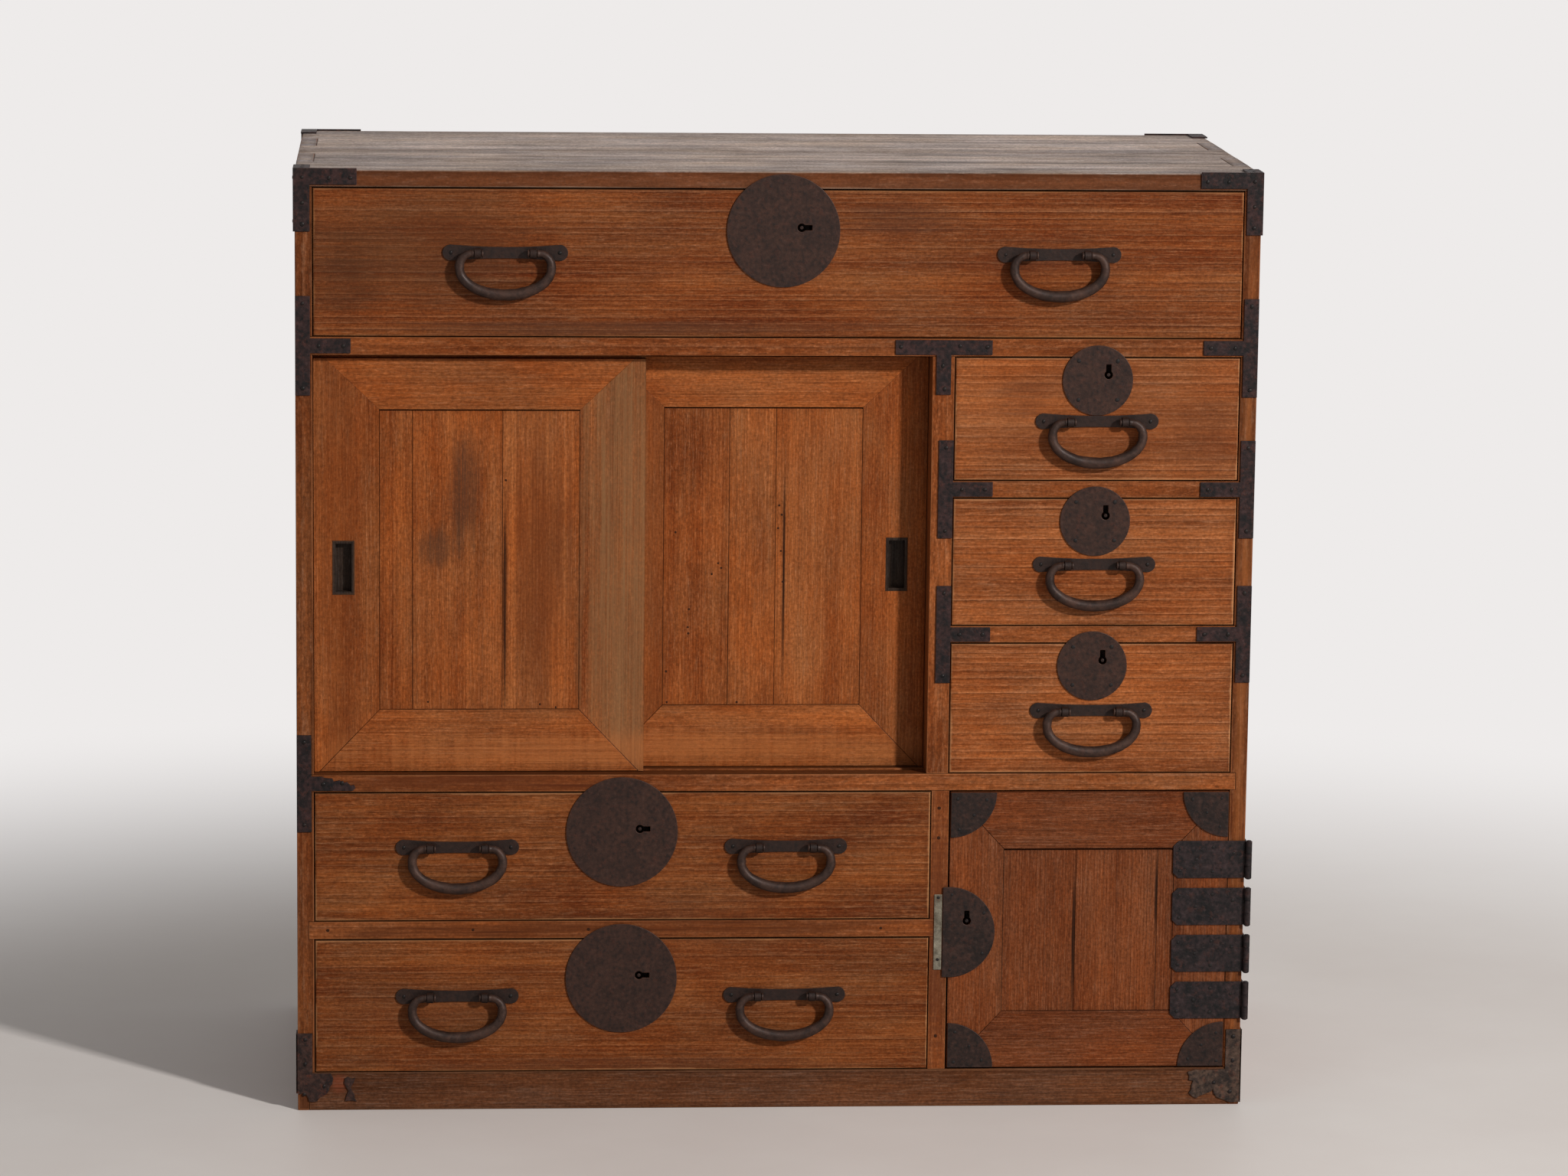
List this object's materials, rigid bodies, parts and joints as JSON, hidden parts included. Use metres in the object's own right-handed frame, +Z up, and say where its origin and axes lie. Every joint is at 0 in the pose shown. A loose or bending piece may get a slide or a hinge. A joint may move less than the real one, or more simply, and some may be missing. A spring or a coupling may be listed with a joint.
{
  "type": "mizuya kitchen cabinet",
  "caption": "Wooden kitchen cabinet with a wide drawer over a sliding-door bay and a column of small drawers, lower drawers and a hinged door, with iron locks, bail handles and corner irons.",
  "frame": {"origin": "on the floor, at the middle of the case's footprint, which lies on the batten under the bottom board", "axes": "+X to the right of somebody facing the front, +Y to the back, +Z up; the front faces -Y"},
  "size_m": [0.918, 0.426, 0.9066],
  "materials": {
    "top_wood": "weathered, nearly matt",
    "case_wood": "old lacquer, worn to a dull sheen",
    "base_wood": "worn, matt",
    "drawer_wood": "old clear lacquer over fine dark grain",
    "door_wood": "old clear lacquer",
    "inner_wood": "bare wood",
    "pull_wood": "dark lacquer",
    "case_iron": "forged, rusted brown black",
    "plate_iron": "forged, rusted brown black",
    "bail_iron": "forged, dark, polished by use",
    "hinge_iron": "forged, rusted brown black",
    "bolt_iron": "plain iron",
    "keeper_steel": "pale worn steel"
  },
  "bodies": {
    "carcass": {"top_board": "top_wood", "left_side_board": "case_wood", "right_side_board": "case_wood", "bottom_board": "inner_wood", "base_rails": "base_wood", "back_boards": "inner_wood", "upper_rail": "case_wood", "middle_rail": "case_wood", "short_rails": "case_wood", "dust_boards": "inner_wood", "column_divider": "case_wood", "lower_divider": "case_wood", "corner_irons": "case_iron", "tee_irons": "case_iron", "hinge_leaves": "hinge_iron", "door_keeper": "keeper_steel"},
    "top_drawer": {"top_drawer_front": "drawer_wood", "top_drawer_box": "inner_wood", "top_drawer_ironwork": "plate_iron"},
    "top_drawer_bolt": {"top_drawer_lock_bolt": "bolt_iron"},
    "top_drawer_left_bail": {"top_drawer_left_bail": "bail_iron"},
    "top_drawer_right_bail": {"top_drawer_right_bail": "bail_iron"},
    "small_drawer_1": {"small_drawer_1_front": "drawer_wood", "small_drawer_1_box": "inner_wood", "small_drawer_1_ironwork": "plate_iron"},
    "small_drawer_1_bolt": {"small_drawer_1_lock_bolt": "bolt_iron"},
    "small_drawer_1_bail": {"small_drawer_1_bail": "bail_iron"},
    "small_drawer_2": {"small_drawer_2_front": "drawer_wood", "small_drawer_2_box": "inner_wood", "small_drawer_2_ironwork": "plate_iron"},
    "small_drawer_2_bolt": {"small_drawer_2_lock_bolt": "bolt_iron"},
    "small_drawer_2_bail": {"small_drawer_2_bail": "bail_iron"},
    "small_drawer_3": {"small_drawer_3_front": "drawer_wood", "small_drawer_3_box": "inner_wood", "small_drawer_3_ironwork": "plate_iron"},
    "small_drawer_3_bolt": {"small_drawer_3_lock_bolt": "bolt_iron"},
    "small_drawer_3_bail": {"small_drawer_3_bail": "bail_iron"},
    "lower_drawer_1": {"lower_drawer_1_front": "drawer_wood", "lower_drawer_1_box": "inner_wood", "lower_drawer_1_ironwork": "plate_iron"},
    "lower_drawer_1_bolt": {"lower_drawer_1_lock_bolt": "bolt_iron"},
    "lower_drawer_1_left_bail": {"lower_drawer_1_left_bail": "bail_iron"},
    "lower_drawer_1_right_bail": {"lower_drawer_1_right_bail": "bail_iron"},
    "lower_drawer_2": {"lower_drawer_2_front": "drawer_wood", "lower_drawer_2_box": "inner_wood", "lower_drawer_2_ironwork": "plate_iron"},
    "lower_drawer_2_bolt": {"lower_drawer_2_lock_bolt": "bolt_iron"},
    "lower_drawer_2_left_bail": {"lower_drawer_2_left_bail": "bail_iron"},
    "lower_drawer_2_right_bail": {"lower_drawer_2_right_bail": "bail_iron"},
    "sliding_door_front": {"sliding_door_front_frame": "door_wood", "sliding_door_front_panel": "door_wood", "sliding_door_front_pull": "pull_wood"},
    "sliding_door_rear": {"sliding_door_rear_frame": "door_wood", "sliding_door_rear_panel": "door_wood", "sliding_door_rear_pull": "pull_wood"},
    "hinged_door": {"hinged_door_frame": "door_wood", "hinged_door_panel": "door_wood", "hinged_door_ironwork": "plate_iron", "hinged_door_straps": "hinge_iron"},
    "hinged_door_bolt": {"hinged_door_lock_bolt": "bolt_iron"}
  },
  "joints": [
    {"name": "top_drawer_slide", "type": "slide", "parent": "carcass", "child": "top_drawer", "axis": [0, -1, 0], "range_m": [0, 0.3]},
    {"name": "top_drawer_bolt_slide", "type": "slide", "parent": "top_drawer", "child": "top_drawer_bolt", "axis": [0, 0, 1], "range_m": [0, 0.007]},
    {"name": "top_drawer_left_bail_swing", "type": "hinge", "parent": "top_drawer", "child": "top_drawer_left_bail", "pos_m": [-0.2583, -0.214, 0.828], "axis": [-1, 0, 0], "range_deg": [-3, 170]},
    {"name": "top_drawer_right_bail_swing", "type": "hinge", "parent": "top_drawer", "child": "top_drawer_right_bail", "pos_m": [0.2637, -0.214, 0.828], "axis": [-1, 0, 0], "range_deg": [-3, 170]},
    {"name": "small_drawer_1_slide", "type": "slide", "parent": "carcass", "child": "small_drawer_1", "axis": [0, -1, 0], "range_m": [0, 0.3]},
    {"name": "small_drawer_1_bolt_slide", "type": "slide", "parent": "small_drawer_1", "child": "small_drawer_1_bolt", "axis": [0, 0, 1], "range_m": [0, 0.007]},
    {"name": "small_drawer_1_bail_swing", "type": "hinge", "parent": "small_drawer_1", "child": "small_drawer_1_bail", "pos_m": [0.30275, -0.214, 0.6695], "axis": [-1, 0, 0], "range_deg": [-3, 170]},
    {"name": "small_drawer_2_slide", "type": "slide", "parent": "carcass", "child": "small_drawer_2", "axis": [0, -1, 0], "range_m": [0, 0.3]},
    {"name": "small_drawer_2_bolt_slide", "type": "slide", "parent": "small_drawer_2", "child": "small_drawer_2_bolt", "axis": [0, 0, 1], "range_m": [0, 0.007]},
    {"name": "small_drawer_2_bail_swing", "type": "hinge", "parent": "small_drawer_2", "child": "small_drawer_2_bail", "pos_m": [0.30275, -0.214, 0.532], "axis": [-1, 0, 0], "range_deg": [-3, 170]},
    {"name": "small_drawer_3_slide", "type": "slide", "parent": "carcass", "child": "small_drawer_3", "axis": [0, -1, 0], "range_m": [0, 0.3]},
    {"name": "small_drawer_3_bolt_slide", "type": "slide", "parent": "small_drawer_3", "child": "small_drawer_3_bolt", "axis": [0, 0, 1], "range_m": [0, 0.007]},
    {"name": "small_drawer_3_bail_swing", "type": "hinge", "parent": "small_drawer_3", "child": "small_drawer_3_bail", "pos_m": [0.30275, -0.214, 0.39025], "axis": [-1, 0, 0], "range_deg": [-3, 170]},
    {"name": "lower_drawer_1_slide", "type": "slide", "parent": "carcass", "child": "lower_drawer_1", "axis": [0, -1, 0], "range_m": [0, 0.3]},
    {"name": "lower_drawer_1_bolt_slide", "type": "slide", "parent": "lower_drawer_1", "child": "lower_drawer_1_bolt", "axis": [0, 0, 1], "range_m": [0, 0.007]},
    {"name": "lower_drawer_1_left_bail_swing", "type": "hinge", "parent": "lower_drawer_1", "child": "lower_drawer_1_left_bail", "pos_m": [-0.3025, -0.214, 0.25825], "axis": [-1, 0, 0], "range_deg": [-3, 170]},
    {"name": "lower_drawer_1_right_bail_swing", "type": "hinge", "parent": "lower_drawer_1", "child": "lower_drawer_1_right_bail", "pos_m": [0.0115, -0.214, 0.25825], "axis": [-1, 0, 0], "range_deg": [-3, 170]},
    {"name": "lower_drawer_2_slide", "type": "slide", "parent": "carcass", "child": "lower_drawer_2", "axis": [0, -1, 0], "range_m": [0, 0.3]},
    {"name": "lower_drawer_2_bolt_slide", "type": "slide", "parent": "lower_drawer_2", "child": "lower_drawer_2_bolt", "axis": [0, 0, 1], "range_m": [0, 0.007]},
    {"name": "lower_drawer_2_left_bail_swing", "type": "hinge", "parent": "lower_drawer_2", "child": "lower_drawer_2_left_bail", "pos_m": [-0.3025, -0.214, 0.11225], "axis": [-1, 0, 0], "range_deg": [-3, 170]},
    {"name": "lower_drawer_2_right_bail_swing", "type": "hinge", "parent": "lower_drawer_2", "child": "lower_drawer_2_right_bail", "pos_m": [0.0115, -0.214, 0.11225], "axis": [-1, 0, 0], "range_deg": [-3, 170]},
    {"name": "sliding_door_front_slide", "type": "slide", "parent": "carcass", "child": "sliding_door_front", "axis": [1, 0, 0], "range_m": [0, 0.27]},
    {"name": "sliding_door_rear_slide", "type": "slide", "parent": "carcass", "child": "sliding_door_rear", "axis": [-1, 0, 0], "range_m": [0, 0.27]},
    {"name": "hinged_door_swing", "type": "hinge", "parent": "carcass", "child": "hinged_door", "pos_m": [0.4582, -0.2087, 0.174], "axis": [0, 0, 1], "range_deg": [0, 265]},
    {"name": "hinged_door_bolt_slide", "type": "slide", "parent": "hinged_door", "child": "hinged_door_bolt", "axis": [-1, 0, 0], "range_m": [0, 0.0095]}
  ]
}
